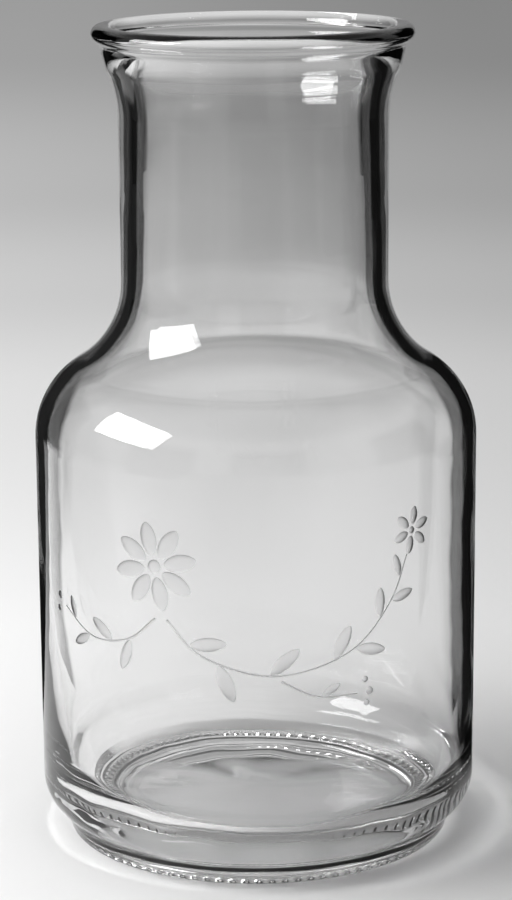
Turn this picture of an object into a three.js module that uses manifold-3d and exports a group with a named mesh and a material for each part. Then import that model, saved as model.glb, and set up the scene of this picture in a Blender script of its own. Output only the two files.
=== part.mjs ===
// A clear glass carafe with a flared lip, a straight neck, round shoulders and a knurled foot.
// The vessel is one wall between two curves of revolution, the outer and the inner profile.
// Its zones, from the ring that it stands on to the bead of its rim, are slices of that wall
// which meet on level faces. Millimetres, +Z up, origin at the centre of the foot.
import * as THREE from 'three';
import { mergeGeometries, mergeVertices } from 'three/addons/utils/BufferGeometryUtils.js';
import Module from 'manifold-3d';

const wasm = await Module();
wasm.setup();

// Driving dimensions of the foot and the base
const bearingHeight = 1.6; // the knurled ring that touches the table
const bearingWidth = 6.2; // its flat underside, across the ring
const footHeight = 5.0; // from the table to the groove under the heel
const footInset = 5.4; // how far the foot stands in from the body
const footTaper = 1.0; // how much further in it stands at the table
const pushUpRise = 2.2; // how far the underside rises towards the middle
const floorThickness = 2.8; // the glass in the middle, above the push-up
const cornerRadius = 16; // where the floor turns up into the wall
const heelRadius = 9.3;

// Driving dimensions of the body, the neck and the rim
const bodyDiameter = 108;
const bodyWall = 3.0;
const bodyTop = 99.4; // height where the shoulder starts to turn in
const shoulderRadius = 21.1;
const shoulderRise = 38.3; // from the top of the body to the foot of the neck
const neckDiameter = 64.9;
const neckWall = 3.9;
const neckLength = 38.8;
const flareRadius = 27.7;
const flareTurn = 26.3; // degrees that the flare leans out from the neck
const lipHeight = 18.1;
const lipDiameter = 73.4; // outside, just under the bead
const lipWall = 2.9;
const beadRadius = 2.1; // the rolled edge of the rim
const beadOverhang = 1.8; // how far it stands out past the lip

// Driving dimensions of the knurl, a ring of short radial grooves under the foot
const grooveCount = 90;
const grooveWidth = 1.4;
const grooveLength = 3.6;
const grooveDepth = 0.5;

// How finely the round shapes are divided
const turnSteps = 64;
const arcSteps = 6;

// Places that follow from the sizes
const bodyRadius = bodyDiameter / 2;
const neckRadius = neckDiameter / 2;
const lipRadius = lipDiameter / 2;
const mouthRadius = lipRadius - lipWall;
const footRadius = bodyRadius - footInset;
const bearingOuter = footRadius - footTaper;
const bearingInner = bearingOuter - bearingWidth;
const floorHeight = bearingHeight + pushUpRise + floorThickness;
const cornerTop = floorHeight + cornerRadius;
const baseTop = cornerTop - cornerRadius * Math.SQRT1_2;
const neckFoot = bodyTop + shoulderRise;
const neckTop = neckFoot + neckLength;
const rimFoot = neckTop + lipHeight;

// Points along a round stretch of a profile, about a centre, between two angles in degrees
function arc(centreR, centreZ, radius, from, to) {
  const points = [];
  for (let step = 0; step <= arcSteps; step += 1) {
    const angle = THREE.MathUtils.degToRad(from + ((to - from) * step) / arcSteps);
    const across = centreR + radius * Math.cos(angle);
    const up = centreZ + radius * Math.sin(angle);
    points.push(new THREE.Vector2(across, up));
  }
  return points;
}

// The double curve from the body's radius to the neck's: two arcs that meet in line
function shoulderCurve(bodyR, neckR, roundR) {
  const inward = bodyR - neckR;
  const bothRadii = (inward ** 2 + shoulderRise ** 2) / (2 * inward);
  const throatR = bothRadii - roundR;
  const turn = THREE.MathUtils.radToDeg(2 * Math.atan2(inward, shoulderRise));
  const shoulder = arc(bodyR - roundR, bodyTop, roundR, 0, turn);
  const throat = arc(neckR + throatR, neckFoot, throatR, 180 + turn, 180);
  return [...shoulder, ...throat.slice(1)];
}

// The lip: an arc that leaves the neck upright, then a straight run to the rim
function lipCurve(neckR, roundR, rimR) {
  const flare = arc(neckR + roundR, neckTop, roundR, 180, 180 - flareTurn);
  return [...flare, new THREE.Vector2(rimR, rimFoot)];
}

// The outer profile, from the table up to the foot of the rim
const heelJoin = THREE.MathUtils.radToDeg(Math.acos((heelRadius - footInset) / heelRadius));
const heelCentre = footHeight + heelRadius * Math.sin(THREE.MathUtils.degToRad(heelJoin));
const outerProfile = [
  new THREE.Vector2(bearingOuter, 0),
  ...arc(bodyRadius - heelRadius, heelCentre, heelRadius, -heelJoin, 0),
  ...shoulderCurve(bodyRadius, neckRadius, shoulderRadius),
  ...lipCurve(neckRadius, flareRadius, lipRadius),
];

// The inner profile, from the edge of the floor up to the foot of the rim
const innerBody = bodyRadius - bodyWall;
const innerNeck = neckRadius - neckWall;
const innerProfile = [
  ...arc(innerBody - cornerRadius, cornerTop, cornerRadius, -90, 0),
  ...shoulderCurve(innerBody, innerNeck, shoulderRadius - bodyWall),
  ...lipCurve(innerNeck, flareRadius, mouthRadius),
];

// The point where a profile passes a height
function pointAt(profile, height) {
  const next = profile.findIndex((point) => point.y >= height);
  const above = profile[Math.max(next, 1)];
  const below = profile[Math.max(next, 1) - 1];
  const share = (height - below.y) / (above.y - below.y);
  return new THREE.Vector2().lerpVectors(below, above, share);
}

// The stretch of a profile between two heights
function stretch(profile, low, high) {
  const hair = 1e-4;
  const between = profile.filter((point) => point.y > low + hair && point.y < high - hair);
  return [pointAt(profile, low), ...between, pointAt(profile, high)];
}

// A closed outline in radius and height, turned about the upright axis
function revolve(outline) {
  const geometry = new THREE.LatheGeometry(outline, turnSteps);
  geometry.rotateX(Math.PI / 2);
  return geometry;
}

// A slice of the wall between two heights
function wallRing(low, high) {
  const outside = stretch(outerProfile, low, high);
  const inside = stretch(innerProfile, low, high).reverse();
  return revolve([...outside, ...inside, outside[0]]);
}

function toSolid(geometry) {
  const bare = geometry.clone();
  bare.deleteAttribute('normal');
  bare.deleteAttribute('uv');
  const merged = mergeVertices(bare);
  return new wasm.Manifold(
    new wasm.Mesh({
      numProp: 3,
      vertProperties: new Float32Array(merged.attributes.position.array),
      triVerts: new Uint32Array(merged.index.array),
    }),
  );
}

function toGeometry(solid) {
  const mesh = solid.getMesh();
  const geometry = new THREE.BufferGeometry();
  geometry.setAttribute('position', new THREE.BufferAttribute(mesh.vertProperties, 3));
  geometry.setIndex(new THREE.BufferAttribute(mesh.triVerts, 1));
  geometry.computeVertexNormals();
  return geometry;
}

// The ring that the carafe stands on, with grooves that run out from its inner edge
function bearingRing() {
  const footAt = pointAt(outerProfile, bearingHeight);
  const outline = [
    new THREE.Vector2(bearingInner, 0),
    new THREE.Vector2(bearingOuter, 0),
    footAt,
    new THREE.Vector2(bearingInner, bearingHeight),
    new THREE.Vector2(bearingInner, 0),
  ];
  const overshoot = bearingHeight; // the cutter starts inside the ring and below it
  const cutter = new THREE.BoxGeometry(grooveLength + overshoot, grooveWidth, grooveDepth + overshoot);
  const middle = bearingInner + (grooveLength - overshoot) / 2;
  cutter.translate(middle, 0, (grooveDepth - overshoot) / 2);
  const grooves = [];
  for (let groove = 0; groove < grooveCount; groove += 1) {
    const angle = (2 * Math.PI * (groove + 0.5)) / grooveCount;
    grooves.push(cutter.clone().rotateZ(angle));
  }
  return toGeometry(toSolid(revolve(outline)).subtract(toSolid(mergeGeometries(grooves))));
}

// The base: the push-up underneath, the floor on top, and the foot and heel around them
function base() {
  const domeRadius = (bearingInner ** 2 + pushUpRise ** 2) / (2 * pushUpRise);
  const domeTop = bearingHeight + pushUpRise;
  const halfTurn = THREE.MathUtils.radToDeg(Math.asin(bearingInner / domeRadius));
  const dome = arc(0, domeTop - domeRadius, domeRadius, 90, 90 - halfTurn);
  const outside = stretch(outerProfile, bearingHeight, baseTop);
  const inside = stretch(innerProfile, floorHeight, baseTop).reverse();
  const axis = [new THREE.Vector2(0, floorHeight), new THREE.Vector2(0, domeTop)];
  return revolve([...dome.slice(1), ...outside, ...inside, ...axis, dome[1]]);
}

// The rim: a rolled bead that rounds over from outside the lip to the mouth
function rimBead() {
  const beadCentre = lipRadius + beadOverhang - beadRadius;
  const outside = arc(beadCentre, rimFoot + beadRadius, beadRadius, -45, 90);
  const innerRound = Math.min(beadRadius, beadCentre - mouthRadius);
  const inside = arc(mouthRadius + innerRound, rimFoot + 2 * beadRadius - innerRound, innerRound, 90, 180);
  const outline = [
    new THREE.Vector2(lipRadius, rimFoot),
    ...outside,
    ...inside,
    new THREE.Vector2(mouthRadius, rimFoot),
    new THREE.Vector2(lipRadius, rimFoot),
  ];
  return revolve(outline);
}

const carafe = new THREE.Group();

function addZone(name, geometry) {
  const glass = new THREE.MeshStandardMaterial({
    color: 0xe8eceb,
    roughness: 0.04,
    metalness: 0,
    transparent: true,
    opacity: 0.35,
  });
  const zone = new THREE.Mesh(geometry, glass);
  zone.name = name;
  carafe.add(zone);
}

const shoulderTurn = 2 * Math.atan2(bodyRadius - neckRadius, shoulderRise);
const throatFoot = bodyTop + shoulderRadius * Math.sin(shoulderTurn);

addZone('bearing_ring', bearingRing());
addZone('base', base());
addZone('heel', wallRing(baseTop, cornerTop));
addZone('body_wall', wallRing(cornerTop, bodyTop));
addZone('shoulder', wallRing(bodyTop, throatFoot));
addZone('throat', wallRing(throatFoot, neckFoot));
addZone('neck', wallRing(neckFoot, neckTop));
addZone('lip', wallRing(neckTop, rimFoot));
addZone('rim_bead', rimBead());

export default carafe;
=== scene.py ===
import math

import bmesh
import bpy
from mathutils import Matrix, Vector, noise


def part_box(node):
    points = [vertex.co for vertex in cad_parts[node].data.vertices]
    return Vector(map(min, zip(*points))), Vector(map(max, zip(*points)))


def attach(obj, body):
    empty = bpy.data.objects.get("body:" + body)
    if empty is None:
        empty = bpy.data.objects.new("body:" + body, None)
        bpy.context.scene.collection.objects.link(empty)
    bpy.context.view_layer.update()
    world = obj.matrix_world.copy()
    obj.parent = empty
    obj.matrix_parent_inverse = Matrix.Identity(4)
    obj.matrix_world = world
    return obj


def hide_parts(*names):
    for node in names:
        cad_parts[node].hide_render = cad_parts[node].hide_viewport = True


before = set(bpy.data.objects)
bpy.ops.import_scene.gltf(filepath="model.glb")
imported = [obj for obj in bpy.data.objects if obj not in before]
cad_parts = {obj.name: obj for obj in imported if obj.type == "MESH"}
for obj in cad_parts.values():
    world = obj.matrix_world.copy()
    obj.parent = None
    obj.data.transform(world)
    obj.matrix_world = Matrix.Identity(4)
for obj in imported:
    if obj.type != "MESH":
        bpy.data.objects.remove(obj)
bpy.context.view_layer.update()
scene = bpy.context.scene
mm = 0.001


class Wire:  # one output in a node tree, so that shader sums read as Python
    def __init__(self, tree, socket=None):
        self.tree = tree
        self.socket = socket

    def node(self, kind, settings=None, sockets=None, out=0):  # any node: settings first, then its sockets
        made = self.tree.nodes.new(kind)
        for name, value in (settings or {}).items():
            if name == "stops":
                made.color_ramp.interpolation = "EASE"
                ramp = made.color_ramp.elements
                while len(ramp) < len(value):
                    ramp.new(1.0)
                for stop, (place, level) in zip(ramp, value):
                    stop.position = place
                    stop.color = (level, level, level, 1)
            else:
                setattr(made, name, value)
        for name, value in (sockets or {}).items():
            if isinstance(value, Wire):
                self.tree.links.new(value.socket, made.inputs[name])
            else:
                made.inputs[name].default_value = value
        return Wire(self.tree, made.outputs[out])

    def sum(self, operation, first, second):
        return self.node("ShaderNodeMath", {"operation": operation}, {0: first, 1: second})

    def __add__(self, other):
        return self.sum("ADD", self, other)

    def __radd__(self, other):
        return self.sum("ADD", other, self)

    def __sub__(self, other):
        return self.sum("SUBTRACT", self, other)

    def __rsub__(self, other):
        return self.sum("SUBTRACT", other, self)

    def __mul__(self, other):
        return self.sum("MULTIPLY", self, other)

    def __rmul__(self, other):
        return self.sum("MULTIPLY", other, self)

    def __truediv__(self, other):
        return self.sum("DIVIDE", self, other)


def newMaterial(name):
    material = bpy.data.materials.new(name)
    material.use_nodes = True
    tree = material.node_tree
    shader = tree.nodes["Principled BSDF"]
    place = Wire(tree).node("ShaderNodeTexCoord", out="Object")
    return material, shader, place


def newGlass(name, look):
    material, shader, place = newMaterial(name)
    shader.inputs["Transmission Weight"].default_value = 1.0
    shader.inputs["IOR"].default_value = look["ior"]
    shader.inputs["Base Color"].default_value = look["tint"]
    return material, shader, place


def join(shader, socket, wire):
    wire.tree.links.new(wire.socket, shader.inputs[socket])


def speckle(place, scale, detail):  # soft noise from 0 to 1, with its scale per metre
    sockets = {"Vector": place, "Scale": scale, "Detail": detail}
    return place.node("ShaderNodeTexNoise", None, sockets, out="Fac")


def relief(height, strength, distance):
    return height.node("ShaderNodeBump", None, {"Strength": strength, "Distance": distance, "Height": height})


def grey(tone):
    return tone.node("ShaderNodeCombineColor", None, {0: tone, 1: tone, 2: tone})


def ease(value, start, end, first, last):  # a smooth step from one level to another
    return value.node("ShaderNodeMapRange", {"interpolation_type": "SMOOTHSTEP"}, {
        "Value": value, "From Min": start, "From Max": end, "To Min": first, "To Max": last})


def addObject(name, bm, *materials):
    mesh = bpy.data.meshes.new(name)
    bm.to_mesh(mesh)
    bm.free()
    for material in materials:
        mesh.materials.append(material)
    made = bpy.data.objects.new(name, mesh)
    scene.collection.objects.link(made)
    return made


# clear glass

clearLook = {
    "ior": 1.5,
    "tint": (0.96, 0.96, 0.96, 1),
    "smudge": 0.035,  # roughness of breath and finger haze
    "smudgeScale": 38,
    "smudgeDetail": 3.0,
    "smudgeStops": [(0.55, 0.0), (0.8, 1.0)],
    "ripple": 0.00006,  # the mould's slow waves, in metres
    "rippleScale": 70,
    "rippleDetail": 1.0,
    "rippleStrength": 1.0,
}


def clearGlass():
    material, shader, place = newGlass("vessel_glass", clearLook)
    haze = speckle(place, clearLook["smudgeScale"], clearLook["smudgeDetail"])
    haze = haze.node("ShaderNodeValToRGB", {"stops": clearLook["smudgeStops"]}, {"Fac": haze})
    join(shader, "Roughness", clearLook["smudge"] * haze)
    wave = speckle(place, clearLook["rippleScale"], clearLook["rippleDetail"])
    join(shader, "Normal", relief(wave, clearLook["rippleStrength"], clearLook["ripple"]))
    return material


# ground glass, where the wheel took the polish off

groundLook = {
    "ior": 1.5,
    "tint": (0.93, 0.93, 0.93, 1),
    "rough": (0.32, 0.52),
    "grainScale": 2600,  # grit of the wheel
    "grainDetail": 2.0,
    "pit": 0.00004,  # and how deep it bites, in metres
    "pitStrength": 0.35,
}


def groundGlass():
    material, shader, place = newGlass("ground_glass", groundLook)
    low, high = groundLook["rough"]
    grain = speckle(place, groundLook["grainScale"], groundLook["grainDetail"])
    join(shader, "Roughness", low + (high - low) * grain)
    join(shader, "Normal", relief(grain, groundLook["pitStrength"], groundLook["pit"]))
    return material


# the vessel: one wall of glass, turned about the upright axis

vessel = {  # millimetres and degrees
    "bearingInner": 41.4,  # the ring that meets the table
    "bearingOuter": 47.6,
    "bearingEdge": 0.8,
    "innerRound": (170, 270),  # where the ring's two edges start and end their rounds
    "outerRound": (270, 350),
    "pushUp": 2.2,
    "pushUpGap": 1.2,  # from the edge of the push-up to the ring
    "footInset": 5.4,
    "footHeight": 5.0,
    "footGroove": [(0.15, 0.7), (0.0, 0.2)],  # how far in and down its points are, under the heel
    "heelRadius": 9.3,
    "heelStart": 4,  # the part of the heel's round that the groove takes
    "cornerRadius": 16.0,
    "floorThickness": 2.8,
    "bodyWall": 3.0,
    "shoulderRadius": 21.1,
    "flareRadius": 27.7,
    "flareTurn": 26.3,
    "boreTop": 27.75,  # the inside of the neck narrows a little upwards
    "boreFoot": 28.7,
    "boreFlare": 40.0,
    "boreTurn": 22.5,
    "lipWall": 3.5,
    "beadRadius": 2.1,
    "beadStart": -64,  # where the bead leaves the lip
    "beadCrease": 0.25,  # how far below the bead the lip ends
    "grooves": 90,
    "grooveLength": 3.6,
    "grooveDepth": 0.6,
    "grooveFade": 1.0,  # the length over which a groove runs out
    "grooveSlack": 0.1,  # how far inside the ring it may start
    "spinSteps": 540,  # six to each groove
    "weld": 0.001,  # points nearer than this become one
    "shapedPoints": 11,  # points of the inside, from the rim down, that a tool shaped, so they aren't blown
    "waveHeight": 0.10,  # how far the blown inner skin wanders
    "waveLength": 26.0,
    "baseWave": 0.45,  # more so low down, where the glass is thick
    "baseWaveLength": 9.0,
    "baseWaveTop": 26.0,
    "uneven": 4.5,  # the glass that ran down on one side
    "unevenTop": 60.0,
    "unevenFall": 1.5,  # a power: how soon it thins upwards
}

zones = {name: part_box(name)[1] / mm for name in sorted(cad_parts)}  # the upper corner of each
bearingTop, cornerTop, bodyTop, neckFoot, neckTop, rimFoot, rimTop = (
    zones[name].z for name in ("bearing_ring", "heel", "body_wall", "throat", "neck", "lip", "rim_bead"))
bodyR, neckR, lipR, rimR = (zones[name].x for name in ("body_wall", "neck", "lip", "rim_bead"))


def arc(centreR, centreZ, radius, start, end, steps):
    angles = [math.radians(start + (end - start) * step / steps) for step in range(steps + 1)]
    return [(centreR + radius * math.cos(angle), centreZ + radius * math.sin(angle)) for angle in angles]


def straight(start, end, steps):  # the points between two ends, without the ends
    shares = [step / steps for step in range(1, steps)]
    return [tuple(low + (high - low) * share for low, high in zip(start, end)) for share in shares]


def shoulderCurve(wide, narrow, roundR):  # from the body in to the neck, two arcs that meet in line
    inward, rise = wide - narrow, neckFoot - bodyTop
    throatR = (inward ** 2 + rise ** 2) / (2 * inward) - roundR
    turn = math.degrees(2 * math.atan2(inward, rise))
    shoulder = arc(wide - roundR, bodyTop, roundR, 0, turn, steps=12)
    return shoulder + arc(narrow + throatR, neckFoot, throatR, 180 + turn, 180, steps=12)[1:]


def outsideProfile():  # from the middle of the push-up out, then up to the top of the rim
    size = vessel
    inner, outer, edge = size["bearingInner"], size["bearingOuter"], size["bearingEdge"]
    heel, flareR, bead = size["heelRadius"], size["flareRadius"], size["beadRadius"]
    domeR = (inner ** 2 + size["pushUp"] ** 2) / (2 * size["pushUp"])
    domeTurn = math.degrees(math.asin((inner - size["pushUpGap"]) / domeR))
    heelJoin = math.degrees(math.acos(1 - size["footInset"] / heel))
    heelZ = size["footHeight"] + heel * math.sin(math.radians(heelJoin))
    footR = bodyR - size["footInset"]
    outline = arc(0, bearingTop + size["pushUp"] - domeR, domeR, 90, 90 - domeTurn, steps=8)
    outline += arc(inner + edge, edge, edge, *size["innerRound"], steps=4)
    outline += straight(outline[-1], (outer - edge, 0), steps=5)
    outline += arc(outer - edge, edge, edge, *size["outerRound"], steps=4)
    outline += [(footR - inset, size["footHeight"] - drop) for inset, drop in size["footGroove"]]
    outline += arc(bodyR - heel, heelZ, heel, size["heelStart"] - heelJoin, 0, steps=9)
    outline += straight((bodyR, heelZ), (bodyR, bodyTop), steps=9)
    outline += shoulderCurve(bodyR, neckR, size["shoulderRadius"])
    outline += straight((neckR, neckFoot), (neckR, neckTop), steps=4)
    outline += arc(neckR + flareR, neckTop, flareR, 180, 180 - size["flareTurn"], steps=8)
    outline += straight(outline[-1], (lipR, rimFoot), steps=3) + [(lipR, rimFoot - size["beadCrease"])]
    return outline + arc(rimR - bead, rimTop - bead, bead, size["beadStart"], 90, steps=11)


def insideProfile():  # from the top of the rim down, then in to the middle of the floor
    size = vessel
    bead, corner, flareR = size["beadRadius"], size["cornerRadius"], size["boreFlare"]
    mouthR, innerBody = lipR - size["lipWall"], bodyR - size["bodyWall"]
    floorZ = bearingTop + size["pushUp"] + size["floorThickness"]
    outline = arc(mouthR + bead, rimTop - bead, bead, 90, 180, steps=6)
    flare = arc(size["boreTop"] + flareR, neckTop, flareR, 180 - size["boreTurn"], 180, steps=8)
    outline += straight(outline[-1], flare[0], steps=3) + flare
    outline += straight((size["boreTop"], neckTop), (size["boreFoot"], neckFoot), steps=5)
    outline += shoulderCurve(innerBody, size["boreFoot"], size["shoulderRadius"] - size["bodyWall"])[::-1]
    outline += straight((innerBody, bodyTop), (innerBody, cornerTop), steps=8)
    outline += arc(innerBody - corner, cornerTop, corner, 0, -90, steps=12)
    return outline + straight(outline[-1], (0, floorZ), steps=6) + [(0, floorZ)]


def turnVessel():  # a quarter turn, mirrored twice
    bm = bmesh.new()
    blown = bm.verts.layers.int.new("blown")
    outside, inside = outsideProfile(), insideProfile()
    profile = [bm.verts.new((r * mm, 0, z * mm)) for r, z in outside + inside]
    for vert in profile[len(outside) + vessel["shapedPoints"]:]:
        vert[blown] = 1
    edges = [bm.edges.new(pair) for pair in zip(profile[:-1], profile[1:])]
    bmesh.ops.spin(bm, geom=profile + edges, cent=(0, 0, 0), axis=(0, 0, 1), angle=math.pi / 2,
                   steps=vessel["spinSteps"] // 4)
    weld = vessel["weld"] * mm
    for axis in "XY":
        bmesh.ops.mirror(bm, geom=bm.verts[:] + bm.edges[:] + bm.faces[:], merge_dist=weld, axis=axis)
    bmesh.ops.remove_doubles(bm, verts=bm.verts, dist=weld)
    bmesh.ops.recalc_face_normals(bm, faces=bm.faces)
    return bm


def knurl(bm):  # short radial grooves in the ring that meets the table
    inner, edge = vessel["bearingInner"], vessel["bearingEdge"]
    outer = inner + vessel["grooveLength"]
    for vert in bm.verts:
        r, z = math.hypot(vert.co.x, vert.co.y) / mm, vert.co.z / mm
        if z > edge or not inner - vessel["grooveSlack"] < r < outer:
            continue
        across = 0.5 - 0.5 * math.cos(vessel["grooves"] * math.atan2(vert.co.y, vert.co.x))
        fade = min(1.0, (outer - r) / vessel["grooveFade"]) * (1 - z / edge)
        vert.co.z += vessel["grooveDepth"] * across * fade * mm


def wander(bm):  # slow waves on the inside, as blown glass has, and thicker glass low on the -X side
    bm.normal_update()
    blown = bm.verts.layers.int["blown"]
    moves = []
    for vert in bm.verts:
        if vert[blown]:
            low = max(0.0, 1 - vert.co.z / (vessel["baseWaveTop"] * mm))
            wave = vessel["waveHeight"] * noise.noise(vert.co / (vessel["waveLength"] * mm))
            wave += vessel["baseWave"] * low * noise.noise(vert.co / (vessel["baseWaveLength"] * mm))
            drop = max(0.0, 1 - vert.co.z / (vessel["unevenTop"] * mm)) ** vessel["unevenFall"]
            reach = vert.co.xy.length
            side = 0.5 - 0.5 * vert.co.x / max(reach, mm)
            thick = vessel["uneven"] * drop * side * reach / (bodyR * mm)
            inward = Vector((-vert.co.x, -vert.co.y, 0)).normalized()
            moves.append((vert, (vert.normal * wave + inward * thick) * mm))
    for vert, move in moves:
        vert.co += move


clear = clearGlass()
ground = groundGlass()
bm = turnVessel()
knurl(bm)
wander(bm)
glassPiece = addObject("glass_vessel", bm, clear, ground)
print("vessel turned:", len(glassPiece.data.polygons), "faces")


# the spray, ground into the front of the body with a wheel: stems, leaves, two rosettes and some berries

spray = {  # millimetres round the body from its front, and up
    "depth": 0.32,
    "oliveSteps": 8,  # along a leaf, petal or berry
    "oliveSides": 14,
    "olivePoint": 1.3,  # how pointed its ends are
    "stemRadius": 0.30,
    "stemDepth": 0.18,
    "stemSides": 6,
    "stemSteps": 12,  # between two points
    "stemTaper": 0.45,
    "leafGap": 0.5,  # from the stem
    "weld": 0.0001,  # points nearer than this become one
    "stems": [  # points, then leaves: share of the stem, side, length, width, lean in degrees
        {"points": [(-21.5, 66.5), (-13, 58.5), (4, 54), (22, 58.5), (33, 69), (38, 79.5)], "leaves": [
            (0.13, 1, 9.0, 3.4, 48), (0.25, -1, 9.5, 3.6, 46), (0.38, 1, 9.0, 3.4, 44),
            (0.55, 1, 8.5, 3.2, 42), (0.62, -1, 8.0, 3.0, 42), (0.74, 1, 7.0, 2.7, 40),
            (0.80, -1, 6.5, 2.6, 40), (0.90, 1, 5.5, 2.2, 38)]},
        {"points": [(-24.5, 66.5), (-32, 60.5), (-43, 59), (-54, 64)], "leaves": [
            (0.3, 1, 8.0, 3.0, 45), (0.48, -1, 7.5, 2.9, 44),
            (0.7, 1, 6.5, 2.5, 42), (0.85, -1, 5.5, 2.2, 40)]},
        {"points": [(5.5, 52.6), (14, 48.5), (24, 48)], "leaves": [(0.55, 1, 5.0, 2.0, 40)]},
    ],
    "rosettes": [  # place, petals, first angle, inner radius, petal length and width, eye radius
        ((-24.5, 79.0), 8, 12, 2.5, 8.2, 4.2, 1.7), ((39.5, 85.0), 6, 20, 1.3, 4.4, 2.4, 0.9)],
    "berries": [  # place, radius
        ((27.2, 48.2), 1.0), ((26.0, 51.2), 0.8), ((26.4, 45.4), 0.8),
        ((-57.0, 66.0), 1.0), ((-57.6, 62.6), 0.8)],
}


def alongStem(stem):  # a smooth path through the stem's points
    points = [Vector((*point, 0)) for point in stem]
    points = [2 * points[0] - points[1]] + points + [2 * points[-1] - points[-2]]
    path = []
    for before, start, end, after in zip(points, points[1:], points[2:], points[3:]):
        for step in range(spray["stemSteps"]):
            share = step / spray["stemSteps"]
            bend = 2 * before - 5 * start + 4 * end - after
            twist = 3 * start - before - 3 * end + after
            path.append(0.5 * (2 * start + (end - before) * share + bend * share ** 2 + twist * share ** 3))
    return path + [points[-2]]


def headingAt(path, number):  # the way that a path runs at one of its points
    return (path[min(number + 1, len(path) - 1)] - path[max(number - 1, 0)]).normalized()


def outward(angle):
    return Vector((math.cos(math.radians(angle)), math.sin(math.radians(angle))))


def addOlive(bm, centre, angle, length, width):  # a spindle that lies on the surface
    steps, point = spray["oliveSteps"], spray["olivePoint"]
    turns = [math.radians(180 * step / steps) for step in range(steps + 1)]
    spots = [(-0.5 * length * math.cos(turn), 0.5 * width * math.sin(turn) ** point, 0) for turn in turns]
    spine = [bm.verts.new(spot) for spot in spots]
    edges = [bm.edges.new(pair) for pair in zip(spine[:-1], spine[1:])]
    bmesh.ops.spin(bm, geom=spine + edges, cent=(0, 0, 0), axis=(1, 0, 0), angle=2 * math.pi,
                   steps=spray["oliveSides"], use_merge=True)
    fresh = [vert for vert in bm.verts if not vert.tag]
    flatten = Matrix.Diagonal((1, 1, 2 * spray["depth"] / width, 1))
    place = Matrix.Translation((*centre, 0)) @ Matrix.Rotation(math.radians(angle), 4, "Z") @ flatten
    bmesh.ops.transform(bm, matrix=place, verts=fresh)
    for vert in fresh:
        vert.tag = True


def addStem(bm, path):  # a thin tube, finer at its tip
    loops = []
    for number, spot in enumerate(path):
        along = headingAt(path, number)
        slim = 1.0 - spray["stemTaper"] * number / len(path)
        side = Vector((-along.y, along.x, 0)) * spray["stemRadius"] * slim
        lift = Vector((0, 0, spray["stemDepth"] * slim))
        section = Matrix((side, lift, along)).transposed().to_4x4()
        ring = bmesh.ops.create_circle(
            bm, cap_ends=number in (0, len(path) - 1), segments=spray["stemSides"], radius=1.0,
            matrix=Matrix.Translation(spot) @ section)
        edges = [edge for vert in ring["verts"] for edge in vert.link_edges]
        loops.append(list(dict.fromkeys(edges)))  # each edge once
    for near, far in zip(loops[:-1], loops[1:]):
        bmesh.ops.bridge_loops(bm, edges=near + far)


def addLeaves(bm, path, leaves):
    for share, side, length, width, lean in leaves:
        number = round(share * (len(path) - 1))
        along = headingAt(path, number)
        angle = math.degrees(math.atan2(along.y, along.x)) + side * lean
        centre = path[number].to_2d() + outward(angle) * (0.5 * length + spray["leafGap"])
        addOlive(bm, centre, angle, length, width)


def addRosette(bm, centre, petals, first, inner, length, width, eye):
    for petal in range(petals):
        angle = first + 360 * petal / petals
        addOlive(bm, Vector(centre) + outward(angle) * (inner + 0.5 * length), angle, length, width)
    addOlive(bm, centre, 0, 2 * eye, 2 * eye)


def wrapOn(bm):  # from flat millimetres onto the round body
    for vert in bm.verts:
        turn, reach = vert.co.x / bodyR, (bodyR + vert.co.z) * mm
        vert.co = (reach * math.sin(turn), -reach * math.cos(turn), vert.co.y * mm)
    bmesh.ops.remove_doubles(bm, verts=bm.verts, dist=spray["weld"] * mm)
    bmesh.ops.recalc_face_normals(bm, faces=bm.faces)


def grind(bm, name):  # take one set of wheel cuts out of the vessel
    wrapOn(bm)
    wheel = addObject(name, bm, ground)
    cut = glassPiece.modifiers.new(name, "BOOLEAN")
    cut.operation = "DIFFERENCE"
    cut.solver = "EXACT"
    cut.material_mode = "TRANSFER"
    cut.object = wheel
    bpy.context.view_layer.update()
    carved = glassPiece.evaluated_get(bpy.context.evaluated_depsgraph_get())
    mesh = bpy.data.meshes.new_from_object(carved)
    glassPiece.modifiers.clear()
    glassPiece.data = mesh
    bpy.data.objects.remove(wheel)


paths = [alongStem(stem["points"]) for stem in spray["stems"]]
stems = bmesh.new()
for path in paths:
    addStem(stems, path)
grind(stems, "stem_cuts")

olives = bmesh.new()
for path, stem in zip(paths, spray["stems"]):
    addLeaves(olives, path, stem["leaves"])
for rosette in spray["rosettes"]:
    addRosette(olives, *rosette)
for centre, radius in spray["berries"]:
    addOlive(olives, centre, 0, 2 * radius, 2 * radius)
grind(olives, "olive_cuts")

bm = bmesh.new()
bm.from_mesh(glassPiece.data)
for face in bm.faces:
    face.smooth = True
for edge in bm.edges:  # the cuts keep their sharp rims
    edge.smooth = len({face.material_index for face in edge.link_faces}) == 1
bm.to_mesh(glassPiece.data)
bm.free()
print("spray ground:", len(glassPiece.data.polygons), "faces,", [m.name for m in glassPiece.data.materials])

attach(glassPiece, "root")
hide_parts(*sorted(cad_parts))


# floor of pale paper, with light and shade painted into its colour

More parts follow.
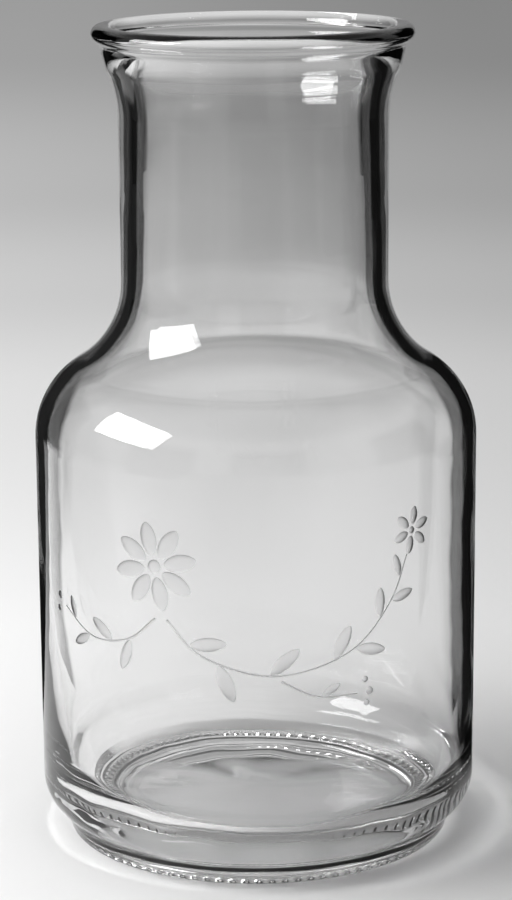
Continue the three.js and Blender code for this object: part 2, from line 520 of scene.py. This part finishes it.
floorLook = {  # metres
    "radius": 7.0,
    "segments": 128,
    "drop": 0.0002,  # under the foot
    "rough": 0.85,
    "sheen": 0.15,
    "fibre": 0.012,
    "fibreScale": 900,
    "fibreDetail": 2.0,
    "stops": [  # share of the span, tone; painted light and shade: darker under and round the foot, brightest from 0.2 to 0.5 m out, then darker further off, as a lamp's light falls off
        (0.0, 0.75), (0.04, 0.965), (0.10, 0.96), (0.15, 0.80), (0.22, 0.645), (0.40, 0.48), (1.0, 0.42)],
    "span": 5.0,  # from the object to the last stop
    "sideShade": 0.30,  # painted shade: how much darker the paper is painted on the side away from the lamp
    "sideWidth": 0.28,
    "lampShade": 0.25,  # and painted shade under the lamp, out of the picture, where its light would turn the paper white
    "lampReach": (-0.80, -0.25),
    "sideFade": (3.0, 6.0),  # where both end
    "spots": [  # painted shade: a painted shadow beside the foot, on the side away from the lamp, and a painted darker patch by the lamp where its light would turn the paper white: place, inner and outer radius, depth
        ((0.10, 0.0, 0.0), 0.02, 0.13, 0.26), ((-0.34, 0.05, 0.0), 0.05, 0.28, 0.28)],
}


def paleFloor():
    material, shader, place = newMaterial("pale_floor")
    away = place.node("ShaderNodeVectorMath", {"operation": "LENGTH"}, {0: place}, out="Value")
    # painted light: the tone falls off with distance from the glass as a lamp's light would, and is darker
    # right under the foot
    tone = away.node("ShaderNodeValToRGB", {"stops": floorLook["stops"]}, {"Fac": away / floorLook["span"]})
    across = place.node("ShaderNodeSeparateXYZ", None, {0: place}, out="X")
    # painted shade on the side away from the lamp
    shade = ease(across, -floorLook["sideWidth"], floorLook["sideWidth"], 0.0, floorLook["sideShade"])
    # painted shade under the lamp, where its light would turn the paper white
    shade = shade + ease(across, *floorLook["lampReach"], floorLook["lampShade"], 0.0)
    tone = tone * (1 - shade * ease(away, *floorLook["sideFade"], 1.0, 0.0))
    # painted shadow beside the foot, and painted shade by the lamp
    for spot, near, far, depth in floorLook["spots"]:
        ends = {0: place, 1: spot}
        aside = place.node("ShaderNodeVectorMath", {"operation": "DISTANCE"}, ends, out="Value")
        tone = tone * ease(aside, near, far, 1 - depth, 1.0)
    fibre = speckle(place, floorLook["fibreScale"], floorLook["fibreDetail"])
    join(shader, "Base Color", grey(tone + floorLook["fibre"] * (fibre - 0.5)))
    shader.inputs["Roughness"].default_value = floorLook["rough"]
    shader.inputs["Specular IOR Level"].default_value = floorLook["sheen"]
    return material


bm = bmesh.new()
bmesh.ops.create_circle(bm, cap_ends=True, segments=floorLook["segments"], radius=floorLook["radius"],
                        matrix=Matrix.Translation((0, 0, -floorLook["drop"])))
addObject("floor", bm, paleFloor())
print("floor laid")


# black cloth that only the glass sees, which draws its edges: metres, and degrees from +X

clothLook = {"tone": 0.008, "nap": 0.006, "napScale": 300, "napDetail": 2.0}


def blackCloth():
    material, shader, place = newMaterial("black_flag")
    nap = speckle(place, clothLook["napScale"], clothLook["napDetail"])
    join(shader, "Base Color", grey(clothLook["tone"] + clothLook["nap"] * nap))
    shader.inputs["Roughness"].default_value = 1.0
    shader.inputs["Specular IOR Level"].default_value = 0.0
    join(shader, "Alpha", place.node("ShaderNodeAttribute", {"attribute_name": "shade"}, out="Fac"))
    return material


cloth = blackCloth()


def around(angle, reach, z):
    return Vector((reach * math.cos(math.radians(angle)), reach * math.sin(math.radians(angle)), z))


def softSheet(name, rows):  # a sheet from rows of (place, density)
    bm = bmesh.new()
    shade = bm.verts.layers.float.new("shade")
    bmesh.ops.create_grid(bm, x_segments=len(rows[0]) - 1, y_segments=len(rows) - 1, size=1.0)
    for vert, (place, density) in zip(bm.verts, (spot for row in rows for spot in row)):
        vert.co = place
        vert[shade] = density
    bmesh.ops.recalc_face_normals(bm, faces=bm.faces)
    sheet = addObject(name, bm, cloth)
    sheet.visible_camera = False
    sheet.visible_diffuse = False
    sheet.visible_shadow = False


uprights = {  # cards that stand far round the floor
    "spans": [(30, 72), (108, 162), (198, 240), (255, 297), (333, 375)],
    "distance": 1.6,
    "height": 1.0,
    "soft": 4,  # how far in a side is full
    "rows": [(0.001, 1), (0.75, 1), (1.0, 0)],  # share of the height, density
}

for number, (start, end) in enumerate(uprights["spans"]):
    soft, reach = uprights["soft"], uprights["distance"]
    columns = ((start, 0), (start + soft, 1), ((start + end) / 2, 1), (end - soft, 1), (end, 0))
    softSheet(f"upright_{number}", [
        [(around(angle, reach, share * uprights["height"]), density * fade) for angle, density in columns]
        for share, fade in uprights["rows"]])

apron = {  # on the floor in front, out of the picture
    "height": 0.0009,
    "columns": [(196, 0), (222, 0.55), (250, 1), (270, 0.9), (286, 0.45), (300, 0)],  # angle, density
    "rows": [(0.18, 0), (0.34, 0.8), (1.4, 0.8), (2.2, 0)],  # reach, density
}

softSheet("apron", [
    [(around(angle, reach, apron["height"]), density * fade) for angle, fade in apron["columns"]]
    for reach, density in apron["rows"]])

ceiling = {  # a dark ring overhead
    "height": 1.1,
    "angles": range(0, 361, 15),
    "rows": [(0.10, 0), (0.45, 0.6), (0.85, 0.6), (1.40, 0)],  # reach, density
}

softSheet("ceiling", [
    [(around(angle, reach, ceiling["height"]), density) for angle in ceiling["angles"]]
    for reach, density in ceiling["rows"]])

fins = {  # upright cards that point at the axis
    "angles": (45, 135),
    "innerSoft": 0.006,  # how far in an edge is full
    "outerSoft": 0.05,
    "rows": [  # height, inner and outer reach
        (0.0, 0.092, 0.42), (0.080, 0.092, 0.42), (0.105, 0.075, 0.44), (0.130, 0.060, 0.44),
        (0.148, 0.060, 0.44), (0.162, 0.110, 0.44), (0.190, 0.110, 0.44)],
}


def finRow(angle, z, inner, outer):
    columns = ((inner, 0), (inner + fins["innerSoft"], 1), (outer - fins["outerSoft"], 1), (outer, 0))
    return [(around(angle, reach, z), density) for reach, density in columns]


for angle in fins["angles"]:
    softSheet(f"fin_{angle}", [finRow(angle, *row) for row in fins["rows"]])

backRows = [
    (0.55, 0, 16, 20, 42, 50), (0.75, 1, 16, 20, 42, 50), (4.0, 1, 20, 25, 42, 50), (4.5, 0, 20, 25, 42, 50)]
flags = {  # fans on the floor, each from one side of the glass outwards
    "start": 0.055,  # from the axis
    "height": 0.0004,
    "step": 0.0001,  # each lies this much above the one before
    "fade": (0, 1, 1, 0),  # across a fan's four angles
    "fans": [  # axis, side, then rows of reach, density and the four angles
        (90, -1, [
            (0.02, 0, 13, 17, 55, 70), (0.04, 1, 13, 17, 55, 70), (0.40, 1, 14, 18, 60, 75),
            (0.70, 1, 17, 21, 72, 85), (4.0, 1, 17, 21, 72, 85), (4.5, 0, 17, 21, 72, 85)]),
        (90, 1, [
            (0.50, 0, 17, 21, 60, 70), (0.70, 1, 17, 21, 60, 70),
            (4.0, 1, 17, 21, 60, 70), (4.5, 0, 17, 21, 60, 70)]),
        (180, 1, backRows),
        (180, -1, backRows),
        (135, 1, [
            (0.28, 0, 9, 12, 16, 20), (0.36, 1, 9, 12, 16, 20),
            (0.80, 1, 10, 13, 22, 27), (1.1, 0, 10, 13, 22, 27)]),
    ],
}

for number, (axis, side, rows) in enumerate(flags["fans"]):
    apex = around(axis + 90, flags["start"] * side, flags["height"] + flags["step"] * number)
    softSheet(f"flag_{number}", [
        [(apex + around(axis + side * angle, reach, 0), density * fade)
         for angle, fade in zip(fan, flags["fade"])]
        for reach, density, *fan in rows])
print("flags laid")


# lamps and world

lamps = {
    "key": {"place": (-0.32, -0.10, 0.30), "aim": (-0.02, -0.03, 0.115), "size": (0.25, 0.15), "watts": 1.45,
            "inGlass": True},
    "side": {"place": (-1.4, 0.9, 0.7), "aim": (-0.7, 0.9, 0.0), "size": (0.8, 0.8), "watts": 5.0,
             "inGlass": False},
}
worldLook = {"horizon": 0.30, "zenith": 0.86}

for name, lamp in lamps.items():
    light = bpy.data.lights.new(name, "AREA")
    light.shape = "RECTANGLE"
    light.size, light.size_y = lamp["size"]
    light.energy = lamp["watts"]
    holder = bpy.data.objects.new(name, light)
    holder.location = lamp["place"]
    holder.rotation_euler = (Vector(lamp["aim"]) - Vector(lamp["place"])).to_track_quat("-Z", "Y").to_euler()
    holder.visible_camera = False
    holder.visible_glossy = holder.visible_transmission = lamp["inGlass"]
    scene.collection.objects.link(holder)

world = bpy.data.worlds.new("studio")
scene.world = world
world.use_nodes = True
sky = Wire(world.node_tree)
up = sky.node("ShaderNodeSeparateXYZ", None, {0: sky.node("ShaderNodeTexCoord", out="Generated")}, out="Z")
rise = up.node("ShaderNodeClamp", None, {"Value": up})
tone = worldLook["horizon"] + (worldLook["zenith"] - worldLook["horizon"]) * rise
join(world.node_tree.nodes["Background"], "Color", grey(tone))
scene.view_settings.view_transform = "Standard"
scene.cycles.caustics_refractive = True  # the bright rings that the glass throws on the floor
scene.cycles.caustics_reflective = True
scene.cycles.blur_glossy = 0.0
scene.cycles.sample_clamp_indirect = 30.0
print("lamps hung")


# camera, at the photograph's place

cameraLook = {  # metres, radians, and millimetres for the lens
    "distance": 0.6602,
    "height": 0.2550,
    "pitch": 0.2383,
    "roll": 0.0076,
    "lens": 110.5,
    "sensor": 36.0,
}

camera = bpy.data.objects.new("camera", bpy.data.cameras.new("camera"))
camera.data.lens = cameraLook["lens"]
camera.data.sensor_width = cameraLook["sensor"]
stand = Matrix.Translation((0, -cameraLook["distance"], cameraLook["height"]))
tilt = Matrix.Rotation(math.pi / 2 - cameraLook["pitch"], 4, "X")
camera.matrix_world = stand @ tilt @ Matrix.Rotation(-cameraLook["roll"], 4, "Z")
scene.collection.objects.link(camera)
scene.camera = camera
print("camera set")

bpy.context.view_layer.update()
